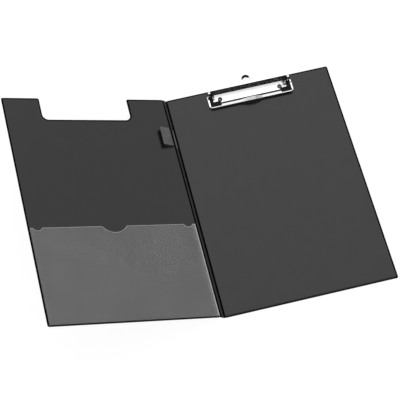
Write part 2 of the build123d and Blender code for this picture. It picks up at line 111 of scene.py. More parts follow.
colour = field(FloatVectorProperty, subtype="COLOR", size=3, min=0, max=1)
spot = field(FloatVectorProperty, subtype="TRANSLATION", unit="LENGTH")
facing = field(FloatVectorProperty, subtype="EULER", unit="ROTATION")
length = field(FloatProperty, subtype="DISTANCE", unit="LENGTH", precision=5, min=0)
angle = field(FloatProperty, subtype="ANGLE", unit="ROTATION")
share = field(FloatProperty, min=0, max=1)
amount = field(FloatProperty, min=0)
count = field(IntProperty, min=1)


class ClipboardPanels(bpy.types.PropertyGroup):
    """Sizes and finishes of the welded panels and their folds"""

    pvc: colour("Colour of the black PVC film", (0.0158, 0.0158, 0.0161))
    pvc_roughness: share("How matt the PVC is", 0.24)
    grain: length("Width of one cell of the PVC's embossed grain", 0.0009)
    spine_pvc: colour("Colour of the spine's film", (0.04, 0.04, 0.0405))
    # Painted shade: the PVC is painted dark along its edges, beside the spine and round the notch,
    # for the shade on its welded rims; these set how dark and how wide
    rim_shade: share("How much of its tone the PVC keeps along its welded rims", 0.05)
    far_shade_line: length("Width of the dark line along the far edges", 0.0034)
    side_shade_line: length("Width of the dark line along the edges that face right", 0.0026)
    near_shade_line: length("Width of the dark line along the edges that face left", 0.0015)
    spine_shade_line: length("Width of the dark line on the spine beside the cover", 0.0016)
    panel_width: length("Width of the board and of the cover", 0.236)
    notch_near: length("From the cover's fold line to the notch", 0.055)
    notch_width: length("Width of the notch", 0.1278)
    notch_depth: length("Depth of the notch", 0.0351)
    notch_corner: length("Radius of the dark line at the notch's corners", 0.0113)
    card: colour("Colour of the greyboard inside the films", (0.33, 0.31, 0.28))
    # Painted shade: the welded fold lines are painted black and given almost no gloss, for the
    # shade in their grooves
    crease: colour("Colour of the welded fold lines", (0.001, 0.001, 0.001))
    crease_shade_gloss: share("How much the welded fold lines reflect", 0.01)
    crease_t: length("Thickness of the PVC at the fold lines", 0.00063)
    crease_reach: length("From a fold line to the edge of its crease", 0.00125)
    crease_inner: length("The same on the spine's side of the board", 0.0008)
    crease_inset: length("From the panel's ends to the crease's", 0.0003)
    fold_gap: length("From a fold line to where the panel films begin", 0.0005)
    cover_slope: angle("Slope of the cover above the table", math.radians(22.8))


class ClipboardLoop(bpy.types.PropertyGroup):
    """Sizes and finish of the pen loop"""

    pvc: colour("Colour of the pen loop's film", (0.075, 0.075, 0.077))
    roughness: share("How matt the loop is", 0.4)
    gloss: share("How much the loop reflects", 0.75)
    blotch: length("Width of the blotches in the loop's tone", 0.009)
    contrast: share("How strong the blotches are", 0.4)
    band: length("Length of the loop along the spine", 0.029)
    film: length("Thickness of the loop's film", 0.00045)
    height: length("How far the loop stands off the cover", 0.0062)
    reach: length("How far the loop reaches across the cover", 0.0167)
    from_fold: length("From the cover's fold line to the loop's weld", 0.0022)
    from_top: length("From the cover's top edge to the loop's middle", 0.0655)
    # Painted highlight: the tail strip is real, but its pale colour is a painted highlight along
    # the spine beside the loop
    tail: colour("Colour of the paler tail of the loop", (0.2, 0.2, 0.203))
    tail_roughness: share("How matt the tail is", 0.35)
    tail_drop: length("How far the tail lies below the loop, along the spine", 0.0012)
    tail_start: length("From the cover's fold line to the tail", 0.0024)
    tail_width: length("Width of the tail on the spine", 0.0022)
    cover_top: length("Height of the cover's face over its weld line", 0.0023)
    spine_top: length("Height of the spine's face over its weld line", 0.0009)


class ClipboardPocket(bpy.types.PropertyGroup):
    """Sizes and finish of the document pocket"""

    film: colour("Colour of the clear film as seen against black", (0.47, 0.47, 0.48))
    film_alpha: share("How much the clear film hides what is behind it", 0.3)
    # Painted highlight: the cut edge's pale colour is a painted highlight, and it also goes on the
    # weld beside the spine
    edge: colour("Colour of the film's cut edge", (0.62, 0.63, 0.64))
    edge_alpha: share("How much the cut edge hides what is behind it", 0.75)
    film_t: length("Thickness of the clear film", 0.00025)
    width: length("Width of the pocket", 0.232)
    height: length("Height of the pocket", 0.1386)
    side_gap: length("From the cover's side edges to the pocket", 0.002)
    foot_gap: length("From the cover's lower edge to the pocket", 0.0013)
    weld: length("Width of the welded rim", 0.0015)
    # Painted highlight: the film and its weld are painted paler beside the spine, and the hem along
    # the open edge is painted bright
    glow: amount("How much paler the film grows beside the spine", 1.7)
    highlight_width: length("Width of the paler strip beside the spine", 0.007)
    weld_highlight: amount("How much paler the weld beside the spine is", 1.45)
    weld_highlight_fade: length("From the pocket's side to where its edges turn pale", 0.004)
    hem: length("Width of the bright line along the pocket's open edge", 0.0008)
    slack: length("How far the film stands off the cover in the middle", 0.0007)
    wave_width: length("Width of the waves in the film", 0.06)
    wave_height: length("Height of the waves in the film", 0.0008)
    columns: count("Columns of the film's grid", 66)
    rows: count("Rows of the film's grid", 40)
    thumb_width: length("Width of the thumb cut", 0.034)
    thumb_depth: length("Depth of the thumb cut", 0.0094)
    corner_width: length("Width of each corner cut", 0.0125)
    corner_depth: length("Depth of each corner cut", 0.004)
    corner_from_end: length("From the pocket's side to its corner cut", 0.0105)


class ClipboardClip(bpy.types.PropertyGroup):
    """Sizes and finishes of the clip"""

    chrome: colour("Colour of the bright plating", (0.9, 0.905, 0.91))
    chrome_roughness: share("How soft the plating's reflections are", 0.09)
    plate_roughness: share("How soft the plate's reflections are", 0.2)
    rubber: colour("Colour of the corner pads", (0.012, 0.012, 0.013))
    wire: colour("Colour of the blackened spring wire", (0.03, 0.03, 0.032))
    rivet: colour("Colour of the darkened rivets", (0.1, 0.1, 0.1))
    washer: colour("Colour of the backing washers", (0.5, 0.5, 0.5))
    # Painted reflection: the plating on the jaw's finger lift and lip is painted grey by height and
    # place, for the darker reflection on their slopes
    lift: colour("Colour of the plating on the jaw's finger lift", (0.4, 0.4, 0.41))
    lift_from: length("Height above the board where the lift's colour begins", 0.0042)
    lift_full: length("Height above the board where it is full", 0.0062)
    lip_shade: share("How far the jaw's lip takes the lift's colour", 0.55)
    lip_width: length("From the jaw's front edge to the back of its lip", 0.0065)
    lip_fade: length("How far the lip's colour takes to appear", 0.001)
    flange_from: length("Height above the board where the flange's gloss is full", 0.003)
    # Painted shade: the tab's rim and the flat inside it are painted towards black, for the dark
    # reflection and shade on the rim and round its hole
    tab_shade_y: length("Along the board, where the tab begins to be black", 0.1785)
    tab_fade: length("How far the tab takes to turn black", 0.002)
    tab_shade: share("How dark the tab is inside its rim", 0.95)
    tab_step: length("How far above the tab's face its rim begins", 0.0001)
    wire_d: length("Diameter of the spring wire", 0.001)
    coil_r: length("From the pin's middle to the wire's middle", 0.0019)
    coil_pitch: length("From one turn of the coil to the next", 0.0016)
    coil_turns: count("Whole turns of each coil", 2)
    coil_from_middle: length("From the clip's middle to the coil's inner end", 0.051)
    fixed_leg_lean: angle("Lean of the leg that stands on the plate", math.radians(16))
    jaw_leg_slope: angle("Lean of the leg that presses on the jaw", math.radians(37))
    leg_end: length("From the clip's middle to the hooked end of the jaw leg", 0.0604)
    leg_bend: length("Radius of the bend in the jaw leg", 0.0012)
    rail_top: length("Height of the jaw's rail above the board", 0.004)
    plate_t: length("Thickness of the base plate and the tab", 0.0008)
    clear: length("Gap between the spring's legs and what they press on", 0.00005)


class ClipboardStage(bpy.types.PropertyGroup):
    """Camera, floor and lights"""

    camera: spot("Place of the camera", (-0.27584, -0.91888, 1.72264))
    camera_turn: facing(
        "Direction of the camera", [math.radians(a) for a in (28.5754, 1.7454, -13.4776)]
    )
    lens: amount("Focal length in millimetres", 129.709)
    sensor: amount("Sensor width in millimetres", 36)
    floor: colour("Colour of the floor", (0.8, 0.8, 0.8))
    floor_size: length("Width of the floor", 12)
    floor_drop: length("How far the floor lies under the board", 0.0001)
    floor_glow: share("How white the floor shows behind the object", 0.92)
    floor_shadow: share("How strongly the object's shadow shows on it", 0.2)
    room: amount("Strength of the even light from all round", 0.42)
    card: colour("Colour of the card that the metal mirrors", (0.004, 0.004, 0.004))
    card_place: spot("Place of the dark card", (0, -1.726, 1.033))
    card_width: length("Width of the dark card", 6)
    card_height: length("Height of the dark card", 2.7)
    card_tilt: angle("Tilt of the dark card", math.radians(49.8))
    key: amount("Power of the large light behind, in watts", 8.3)
    key_size: length("Width of the key light", 2.2)
    key_place: spot("Place of the key light", (0.1, 1.7, 2.2))
    fill: amount("Power of the light from the front left, in watts", 5)
    fill_size: length("Width of the fill light", 1.4)
    fill_place: spot("Place of the fill light", (-1.2, -1.4, 1.6))
    fill_aim: spot("What the fill light points at", (-0.1, 0, 0))


def clear_selection():
    """Leaves edit mode and deselects everything."""
    if bpy.context.mode != "OBJECT":
        bpy.ops.object.mode_set(mode="OBJECT")
    bpy.ops.object.select_all(action="DESELECT")


def take(piece, mode="OBJECT"):
    """Makes one piece the only selected and active one."""
    clear_selection()
    piece.select_set(True)
    bpy.context.view_layer.objects.active = piece
    if mode == "EDIT":
        bpy.ops.object.mode_set(mode="EDIT")
        bpy.ops.mesh.select_mode(type="VERT")
        bpy.ops.mesh.select_all(action="DESELECT")


def named(name):
    """Names the primitive that was just added, with its place moved into its mesh."""
    piece = bpy.context.active_object
    piece.name = name
    piece.data.name = name
    bpy.ops.object.transform_apply(location=True, rotation=True, scale=True)
    return piece


def pick(piece, test):
    """In edit mode, selects just the points whose place passes a test."""
    bpy.ops.mesh.select_all(action="DESELECT")
    mesh = bmesh.from_edit_mesh(piece.data)
    for point in mesh.verts:
        point.select_set(bool(test(point.co)))
    mesh.select_flush(True)
    bmesh.update_edit_mesh(piece.data)


def draw_out(piece, middle, reach, run):
    """In edit mode, extrudes the ring of points round a middle along a run."""
    pick(piece, lambda co: (co - middle).length < reach)
    bpy.ops.mesh.extrude_region_move(TRANSFORM_OT_translate={"value": run})


def finish_with(piece, kind, **settings):
    """Adds a modifier with these settings and applies it."""
    take(piece)
    modifier = piece.modifiers.new(kind.title(), kind)
    for key, value in settings.items():
        setattr(modifier, key, value)
    bpy.ops.object.modifier_apply(modifier=modifier.name)


def put(piece, matrix):
    """Moves a piece and keeps its place in its mesh."""
    take(piece)
    piece.matrix_world = matrix
    bpy.ops.object.transform_apply(location=True, rotation=True, scale=True)


def join(kept, *others):
    """Joins pieces into the one that is kept."""
    take(kept)
    for piece in others:
        piece.select_set(True)
    bpy.ops.object.join()


def outward(piece):
    """Merges doubles and turns every face outwards."""
    take(piece, "EDIT")
    bpy.ops.mesh.select_all(action="SELECT")
    bpy.ops.mesh.remove_doubles(threshold=merging)
    bpy.ops.mesh.normals_make_consistent(inside=False)
    if bmesh.from_edit_mesh(piece.data).calc_volume(signed=True) < 0:
        bpy.ops.mesh.flip_normals()
    clear_selection()


def smooth(piece, degrees=40):
    """Shades a piece smooth, with sharp edges past an angle."""
    take(piece)
    bpy.ops.object.shade_smooth_by_angle(angle=math.radians(degrees))


def coat(piece, *materials):
    """Gives a new piece its materials, the first to all its faces."""
    for material in materials:
        piece.data.materials.append(material)


def coat_node(name, material):
    """Gives a carried-over solid its material, through its own slots."""
    for place in frame["nodes"][name].material_slots:
        place.material = material


def band_along(name, profile, length_y, rows):
    """Strip of film: a grid whose columns are moved onto the points of a profile."""
    clear_selection()
    columns = len(profile) - 1
    bpy.ops.mesh.primitive_grid_add(x_subdivisions=columns, y_subdivisions=rows, size=1)
    piece = named(name)
    take(piece, "EDIT")
    bpy.ops.mesh.select_all(action="SELECT")
    bpy.ops.transform.resize(value=(1, length_y, 1))
    aside = 10
    for k, (x, z) in enumerate(profile):
        at = k / columns - 0.5
        pick(piece, lambda co: abs(co.x - at) < 0.25 / columns and abs(co.z) < level)
        bpy.ops.transform.translate(value=(aside + x - at, 0, z))
    bpy.ops.mesh.select_all(action="SELECT")
    bpy.ops.transform.translate(value=(-aside, 0, 0))
    clear_selection()
    return piece


def bent_film(name, profile, length_y, thickness, place):
    """Piece of film along a profile, with its edges eased, laid in its place."""
    rows = 12
    eased = 0.00008
    piece = band_along(name, profile, length_y, rows)
    finish_with(piece, "SOLIDIFY", thickness=thickness, offset=0)
    outward(piece)
    finish_with(piece, "BEVEL", width=eased, segments=2, limit_method="ANGLE", angle_limit=1.0)
    put(piece, place)
    smooth(piece)
    return piece


def place_on(fold, slope):
    """Place on a panel beside a fold: X across it towards the board, Z up off its face."""
    return Matrix.Translation(fold) @ Matrix.Rotation(slope, 4, "Y")


def cover_place():
    """Place on the cover beside its fold line."""
    return place_on(cover_fold, bpy.context.scene.clipboard_panels.cover_slope)


def empty_tree(owner):
    """The node tree of a material or a world, emptied."""
    owner.use_nodes = True
    owner.node_tree.nodes.clear()
    return owner.node_tree


def new_node(tree, kind, values=None, **settings):
    """A new shader node with these values on its sockets and these settings."""
    node = tree.nodes.new("ShaderNode" + kind)
    for key, value in settings.items():
        setattr(node, key, value)
    for socket, value in (values or {}).items():
        node.inputs[socket].default_value = value
    return node


class Finish:
    """A procedural material on a Principled shader, with its pattern on Object coordinates.

    A pattern is a node with the name of its output.
    """

    def __init__(self, name, base, metallic=0.0, roughness=0.5, gloss=0.5, alpha=1.0):
        self.material = bpy.data.materials.new(name)
        self.tree = empty_tree(self.material)
        output = self.add("OutputMaterial")
        values = {
            "Base Color": (*base, 1),
            "Metallic": metallic,
            "Roughness": roughness,
            "Specular IOR Level": gloss,
            "Alpha": alpha,
        }
        self.shader = self.add("BsdfPrincipled", values)
        self.link((self.shader, "BSDF"), output, "Surface")
        self.coordinates = (self.add("TexCoord"), "Object")

    def add(self, kind, values=None, **settings):
        """A new node in this material."""
        return new_node(self.tree, kind, values, **settings)

    def link(self, source, node, socket):
        """Links a pattern to a socket of a node."""
        self.tree.links.new(source[0].outputs[source[1]], node.inputs[socket])

    def mapped(self, **values):
        """Object coordinates, moved, turned or stretched."""
        mapping = self.add("Mapping", values)
        self.link(self.coordinates, mapping, "Vector")
        return mapping, "Vector"

    def local(self, place):
        """Object coordinates as seen from a place on a panel."""
        back = place.inverted()
        return self.mapped(Location=back.translation, Rotation=back.to_euler())

    def axis(self, source, name):
        """One axis of a vector."""
        split = self.add("SeparateXYZ")
        self.link(source, split, "Vector")
        return split, name

    def noise(self, cell, detail, stretch=(1, 1, 1)):
        """Soft noise whose blotches are about one cell wide."""
        texture = self.add("TexNoise", {"Scale": 1 / cell, "Detail": detail})
        self.link(self.mapped(Scale=stretch), texture, "Vector")
        return texture, "Fac"

    def cells(self, cell):
        """Leather-like cells."""
        texture = self.add("TexVoronoi", {"Scale": 1 / cell}, feature="SMOOTH_F1")
        self.link(self.coordinates, texture, "Vector")
        return texture, "Distance"

    def spread(self, source, low, high, start=0.3, end=0.7):
        """A pattern's values brought between two bounds."""
        bounds = {"From Min": start, "From Max": end, "To Min": low, "To Max": high}
        node = self.add("MapRange", bounds)
        self.link(source, node, "Value")
        return node, "Result"

    def ramp(self, name, start, end, low=0.0):
        """A value that goes to one along an axis of the Object coordinates."""
        return self.spread(self.axis(self.coordinates, name), low, 1.0, start, end)

    def combined(self, operation, first, second):
        """Two values as one."""
        node = self.add("Math", operation=operation)
        self.link(first, node, 0)
        self.link(second, node, 1)
        return node, "Value"

    def vector(self, operation, source, value=(0, 0, 0)):
        """A sum on vectors whose second term is fixed."""
        node = self.add("VectorMath", {1: value}, operation=operation)
        self.link(source, node, 0)
        return node, "Vector"

    def from_middle(self, source, low, high):
        """How far each point lies from a flat rectangle's middle, both ways, and its half size."""
        middle = [(a + b) / 2 for a, b in zip(low, high)]
        half = [(b - a) / 2 for a, b in zip(low, high)]
        apart = self.vector("ABSOLUTE", self.vector("SUBTRACT", source, (*middle, 0)))
        return apart, half

    def inside(self, source, low, high):
        """How far inside a flat rectangle each point lies."""
        apart, half = self.from_middle(source, low, high)
        left = self.vector("ADD", self.vector("MULTIPLY", apart, (-1, -1, 0)), (*half, 0))
        return self.combined("MINIMUM", self.axis(left, "X"), self.axis(left, "Y"))

    def outside(self, source, low, high, corner):
        """How far outside a flat rectangle with round corners each point lies."""
        apart, half = self.from_middle(source, low, high)
        straight = [side - corner for side in half]
        past = self.vector("MAXIMUM", self.vector("SUBTRACT", apart, (*straight, 0)))
        size = self.add("VectorMath", operation="LENGTH")
        self.link(self.vector("MULTIPLY", past, (1, 1, 0)), size, 0)
        node = self.add("Math", {1: corner}, operation="SUBTRACT")
        self.link((size, "Value"), node, 0)
        return node, "Value"

    def tint(self, source, dark, light, start=0.3, end=0.7):
        """Base colour between two shades, by a pattern."""
        ramp = self.add("ValToRGB")
        stops = ramp.color_ramp.elements
        stops[0].position = start
        stops[0].color = (*dark, 1)
        stops[1].position = end
        stops[1].color = (*light, 1)
        self.link(source, ramp, "Fac")
        self.link((ramp, "Color"), self.shader, "Base Color")

    def scale_base(self, factor):
        """Multiplies the base colour by a pattern."""
        socket = self.shader.inputs["Base Color"]
        node = self.add("VectorMath", operation="SCALE")
        if socket.links:
            before = socket.links[0]
            self.link((before.from_node, before.from_socket.name), node, 0)
        else:
            node.inputs[0].default_value = socket.default_value[:3]
        self.link(factor, node, "Scale")
        self.link((node, "Vector"), self.shader, "Base Color")

    def paint_shade(self, distance, shade, blur=0.0003):
        """Painted shade: keeps only a share of the colour and the gloss where a distance is under
        nought.
        """
        self.scale_base(self.spread(distance, shade, 1.0, 0.0, blur))
        gloss = self.shader.inputs["Specular IOR Level"].default_value
        kept = self.spread(distance, shade * gloss, gloss, 0.0, blur)
        self.link(kept, self.shader, "Specular IOR Level")

    def rough(self, source, low, high):
        """Roughness between two values, by a pattern."""
        self.link(self.spread(source, low, high), self.shader, "Roughness")

    def bump(self, *layers):
        """Bumps in layers, each a pattern, its depth and its strength."""
        before = None
        for source, depth, strength in layers:
            node = self.add("Bump", {"Distance": depth, "Strength": strength})
            self.link(source, node, "Height")
            if before:
                self.link((before, "Normal"), node, "Normal")
            before = node
        self.link((before, "Normal"), self.shader, "Normal")


def shade_of(base, factor):
    """A colour made darker or lighter."""
    return tuple(min(1.0, part * factor) for part in base)


def speckled(name, base, tone=None, rough=None, dents=None, stretch=(1, 1, 1), **values):
    """Finish with noise in its tone, its roughness and its bumps.

    Each starts with the noise's cell width and detail. Then tone gives two shares of the base
    colour, rough two roughnesses, and dents their depth and strength.
    """
    finish = Finish(name, base, **values)
    if tone:
        cell, detail, low, high = tone
        finish.tint(finish.noise(cell, detail), shade_of(base, low), shade_of(base, high))
    if rough:
        cell, detail, low, high = rough
        finish.rough(finish.noise(cell, detail), low, high)
    if dents:
        cell, detail, depth, strength = dents
        finish.bump((finish.noise(cell, detail, stretch), depth, strength))
    return finish


def grained_pvc(name, base, roughness, grain, gloss=0.45, blotch=0.05, contrast=0.06):
    """Black PVC with an embossed grain, slightly blotched, its gloss broken up by handling."""
    finish = speckled(
        name,
        base,
        tone=(blotch, 4, 1 - contrast, 1 + contrast),
        rough=(0.02, 5, roughness - 0.04, roughness + 0.04),
        gloss=gloss,
    )
    finish.bump(
        (finish.noise(0.06, 2), 0.0003, 0.15),
        (finish.cells(grain), 0.00008, 0.5),
        (finish.noise(grain / 3, 2), 0.00002, 0.4),
    )
    return finish


class CLIPBOARD_OT_panels(bpy.types.Operator):
    """Finish the board, spine and cover: grained PVC films over greyboard, with painted shade along
    their edges
    """

    bl_idname = "clipboard.panels"
    bl_label = "Panels"

    def execute(self, context):
        sizes = context.scene.clipboard_panels
        look = (sizes.pvc_roughness, sizes.grain)
        board = grained_pvc("board_pvc", sizes.pvc, *look)
        spine = grained_pvc("spine_pvc", sizes.spine_pvc, *look)
        cover = grained_pvc("cover_pvc", sizes.pvc, *look)

        # Painted shade: the dark lines painted along the panels' edges, for the shade on their
        # welded rims, lie past these rectangles, and past the one round the notch
        beyond = 1.0
        far_x = sizes.panel_width / 2 - sizes.side_shade_line
        far_y = half_panel - sizes.far_shade_line
        board_shade_line = board.inside(board.coordinates, (-beyond, -beyond), (far_x, far_y))
        board.paint_shade(board_shade_line, sizes.rim_shade)
        spine_shade_line = spine.inside(
            spine.local(place_on(cover_fold, spine_slope)),
            (sizes.spine_shade_line, -beyond),
            (beyond, beyond),
        )
        spine.paint_shade(spine_shade_line, sizes.rim_shade)
        on_cover = cover.local(cover_place())
        cover_edge = sizes.near_shade_line - sizes.panel_width
        cover_shade_line = cover.inside(on_cover, (cover_edge, -beyond), (beyond, far_y))
        notch_shade_line = cover.outside(
            on_cover,
            (
                -sizes.notch_near - sizes.notch_width - sizes.side_shade_line,
                half_panel - sizes.notch_depth - sizes.far_shade_line,
            ),
            (-sizes.notch_near + sizes.near_shade_line, beyond),
            sizes.notch_corner,
        )
        cover.paint_shade(cover.combined("MINIMUM", cover_shade_line, notch_shade_line), sizes.rim_shade)

        card = speckled(
            "greyboard",
            sizes.card,
            tone=(0.0012, 6, 0.75, 1.2),
            dents=(0.0004, 4, 0.00005, 0.5),
            stretch=(1, 6, 1),
            roughness=0.85,
        )
        # Painted shade: this near-black, barely glossy finish stands for the shade in the fold
        # grooves
        speckled(
            "fold_crease_painted_shade",
            sizes.crease,
            tone=(0.006, 4, 0.7, 1.4),
            dents=(0.0008, 3, 0.00003, 0.4),
            roughness=0.7,
            gloss=sizes.crease_shade_gloss,
        )
        for panel, pvc in (("board", board), ("spine", spine), ("cover", cover)):
            coat_node(f"{panel}_outer_film", pvc.material)
            coat_node(f"{panel}_inner_film", pvc.material)
            coat_node(f"{panel}_core", card.material)
        return {"FINISHED"}


class CLIPBOARD_OT_folds(bpy.types.Operator):
    """Add the welded PVC webs on which the spine and the cover fold, painted black for the shade in
    their grooves
    """

    bl_idname = "clipboard.folds"
    bl_label = "Fold webs"

    def execute(self, context):
        sizes = context.scene.clipboard_panels
        reach = sizes.crease_reach
        inner = sizes.crease_inner
        tilt = sizes.cover_slope
        bends = (
            ("board_fold_web", board_fold, 0.0, spine_slope, inner, "board", "spine"),
            ("cover_fold_web", cover_fold, spine_slope, tilt, reach, "spine", "cover"),
        )
        steps = 16
        rows = 30
        for name, middle, near_slope, far_slope, far_reach, near_body, far_body in bends:
            profile = []
            for k in range(steps + 1):
                along = -reach + (reach + far_reach) * k / steps
                # The bend comes on gently between the panels' films
                turned = min(max(along / sizes.fold_gap / 2 + 0.5, 0), 1)
                turned = turned * turned * (3 - 2 * turned)
                slope = near_slope + (far_slope - near_slope) * turned
                profile.append((-along * math.cos(slope), along * math.sin(slope)))
            web = band_along(name, profile, 2 * (half_panel - sizes.crease_inset), rows)
            put(web, Matrix.Translation(middle))
            finish_with(web, "SOLIDIFY", thickness=sizes.crease_t, offset=0)
            outward(web)
            smooth(web)
            coat(web, bpy.data.materials["fold_crease_painted_shade"])
            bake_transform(web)
        return {"FINISHED"}


class CLIPBOARD_OT_pen_loop(bpy.types.Operator):
    """Add the pen loop, a band of film folded back on itself, and its tail on the spine"""

    bl_idname = "clipboard.pen_loop"
    bl_label = "Pen loop"

    def execute(self, context):
        sizes = context.scene.clipboard_loop
        grain = context.scene.clipboard_panels.grain
        half_film = sizes.film / 2
        high = sizes.height - half_film
        weld_x = -sizes.from_fold
        nose_x = weld_x - sizes.reach + half_film
        fold_r = 2 * sizes.film
        profile = [(weld_x - x * sizes.reach, z * half_film) for x, z in loop_underside]

        # At its nose the film turns back over itself, on an arc in degrees
        nose_from = 30
        nose_arc = 165
        steps = 8
        for k in range(steps + 1):
            turn = math.radians(nose_from + nose_arc * k / steps)
            x = nose_x + fold_r * (1 - math.sin(turn))
            profile.append((x, high - fold_r * (1 + math.cos(turn))))
        profile += [(weld_x - x * sizes.reach, z * high) for x, z in loop_crown]
        profile.append((weld_x, 3 * half_film))
        middle_y = half_panel - sizes.from_top
        place = cover_place() @ Matrix.Translation((0, middle_y, sizes.cover_top))
        loop = bent_film("pen_loop_band", profile, sizes.band, sizes.film, place)
        pvc = grained_pvc(
            "loop_pvc", sizes.pvc, sizes.roughness, grain, sizes.gloss, sizes.blotch, sizes.contrast
        )
        coat(loop, pvc.material)
        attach(loop, "cover")
        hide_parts("pen_loop")
        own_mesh(loop)

        face = sizes.spine_top + half_film
        ends = (0.0, 0.5, 1.0)
        profile = [(sizes.tail_start + end * sizes.tail_width, face) for end in ends]
        lie = Matrix.Translation((0, middle_y - sizes.tail_drop, 0))
        place = place_on(cover_fold, spine_slope) @ lie
        tail = bent_film("pen_loop_tail", profile, sizes.band, sizes.film, place)
        # Painted highlight: the tail's pale finish stands for the highlight on the spine
        coat(tail, grained_pvc("loop_tail_painted_highlight", sizes.tail, sizes.tail_roughness, grain).material)
        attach(tail, "spine")
        return {"FINISHED"}


def edge_cutters(sizes, hem):
    """Cutters for the pocket's open edge, their cuts widened by a hem, which adds a bar."""
    top = sizes.height / 2
    corner_x = sizes.width / 2 - sizes.corner_from_end
    cuts = (
        (0.0, sizes.thumb_width, sizes.thumb_depth),
        (-corner_x, sizes.corner_width, sizes.corner_depth),
        (corner_x, sizes.corner_width, sizes.corner_depth),
    )
    cutter_height = 0.02
    sides = 96
    clear_selection()
    cutters = []
    for x, width, depth in cuts:
        radius = ((width / 2) ** 2 + depth**2) / (2 * depth)
        bpy.ops.mesh.primitive_cylinder_add(
            vertices=sides,
            radius=radius + hem,
            depth=cutter_height,
            location=(x, top + radius - depth, 0),
        )
        cutters.append(named("cutter"))
    if hem:
        bpy.ops.mesh.primitive_cube_add(size=1)
        bpy.ops.transform.resize(value=(2 * sizes.width, 2 * hem, cutter_height))
        bar = named("cutter")
        put(bar, Matrix.Translation((0, top, 0)))
        cutters.append(bar)
    return cutters


class CLIPBOARD_OT_pocket(bpy.types.Operator):
    """Add the clear document pocket, welded round three sides and cut out for a thumb"""

    bl_idname = "clipboard.pocket"
    bl_label = "Document pocket"

    def execute(self, context):
        sizes = context.scene.clipboard_pocket
        highlight_x = -sizes.side_gap
        film = speckled(
            "clear_film",
            sizes.film,
            tone=(0.04, 3, 0.93, 1.07),
            rough=(0.03, 4, 0.16, 0.3),
            dents=(0.05, 2, 0.0004, 0.3),
            alpha=sizes.film_alpha,
        )
        # Painted highlight: the film is painted paler towards its side beside the spine
        across = film.axis(film.local(cover_place()), "X")
        film.scale_base(film.spread(across, 1.0, sizes.glow, highlight_x - sizes.highlight_width, highlight_x))
        # Painted highlight: the pale edge finish, painted paler still on the weld beside the spine
        edge = speckled(
            "clear_film_edge_painted_highlight",
            sizes.edge,
            rough=(0.004, 4, 0.2, 0.4),
            dents=(0.003, 3, 0.00003, 0.4),
            alpha=sizes.edge_alpha,
        )
        across = edge.axis(edge.local(cover_place()), "X")
        weld_end = highlight_x - sizes.weld
        edge.scale_base(
            edge.spread(across, 1.0, sizes.weld_highlight, highlight_x - sizes.weld_highlight_fade, weld_end)
        )

        half_w = sizes.width / 2
        half_h = sizes.height / 2
        clear_selection()
        bpy.ops.mesh.primitive_grid_add(
            x_subdivisions=sizes.columns, y_subdivisions=sizes.rows, size=1
        )
        pocket = named("pocket_film")
        coat(pocket, film.material, edge.material)
        take(pocket, "EDIT")
        bpy.ops.mesh.select_all(action="SELECT")
        bpy.ops.transform.resize(value=(sizes.width, sizes.height, 1))
        bpy.ops.transform.translate(value=(0, 0, sizes.slack))

        # The rim lies on the cover, and the rows beside it are drawn out to the weld
        edge_x = half_w - touching
        edge_y = -half_h + touching
        pick(pocket, lambda co: abs(co.x) > edge_x or co.y < edge_y)
        bpy.ops.transform.translate(value=(0, 0, -sizes.slack + sizes.film_t))
        column = sizes.width / sizes.columns
        row = sizes.height / sizes.rows
        for side in (-1, 1):
            pick(pocket, lambda co: abs(co.x - side * (half_w - column)) < column / 4)
            bpy.ops.transform.translate(value=(side * (column - sizes.weld), 0, 0))
        pick(pocket, lambda co: abs(co.y + half_h - row) < row / 4)
        bpy.ops.transform.translate(value=(0, sizes.weld - row, 0))
        clear_selection()

        # Where it isn't welded the film waves a little
        free_x = half_w - sizes.weld + touching - column
        free_y = -half_h + sizes.weld - touching + row
        free = [
            point.index
            for point in pocket.data.vertices
            if abs(point.co.x) < free_x and point.co.y > free_y
        ]
        pocket.vertex_groups.new(name="slack").add(free, 1.0, "REPLACE")
        waves = bpy.data.textures.new("pocket_waves", "CLOUDS")
        waves.noise_scale = sizes.wave_width
        finish_with(
            pocket,
            "DISPLACE",
            texture=waves,
            texture_coords="LOCAL",
            strength=sizes.wave_height,
            mid_level=0.5,
            vertex_group="slack",
        )
        bpy.data.textures.remove(waves)
        finish_with(
            pocket,
            "SOLIDIFY",
            thickness=sizes.film_t,
            offset=-1,
            use_rim=True,
            material_offset_rim=1,
        )
        outward(pocket)

        # The hem is cut from a copy of the film and then joined to what is left of it
        take(pocket)
        bpy.ops.object.duplicate()
        hem = bpy.context.active_object
        wide, *others = edge_cutters(sizes, sizes.hem)
        join(wide, *others)
        for piece, operation in ((pocket, "DIFFERENCE"), (hem, "INTERSECT")):
            finish_with(
                piece, "BOOLEAN", operation=operation, object=wide, solver="EXACT", use_self=True
            )
        bpy.data.objects.remove(wide)
        for cutter in edge_cutters(sizes, 0):
            finish_with(hem, "BOOLEAN", operation="DIFFERENCE", object=cutter, solver="EXACT")
            bpy.data.objects.remove(cutter)
        # Painted highlight: the hem and the weld beside the spine take the pale edge finish
        for face in hem.data.polygons:
            face.material_index = 1
        weld_x = half_w - sizes.weld
        for face in pocket.data.polygons:
            if face.center.x > weld_x:
                face.material_index = 1
        join(pocket, hem)
        middle = (
            -sizes.side_gap - half_w,
            -half_panel + sizes.foot_gap + half_h,
            context.scene.clipboard_loop.cover_top,
        )
        put(pocket, cover_place() @ Matrix.Translation(middle))
        smooth(pocket)
        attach(pocket, "cover")
        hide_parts("document_pocket")
        return {"FINISHED"}


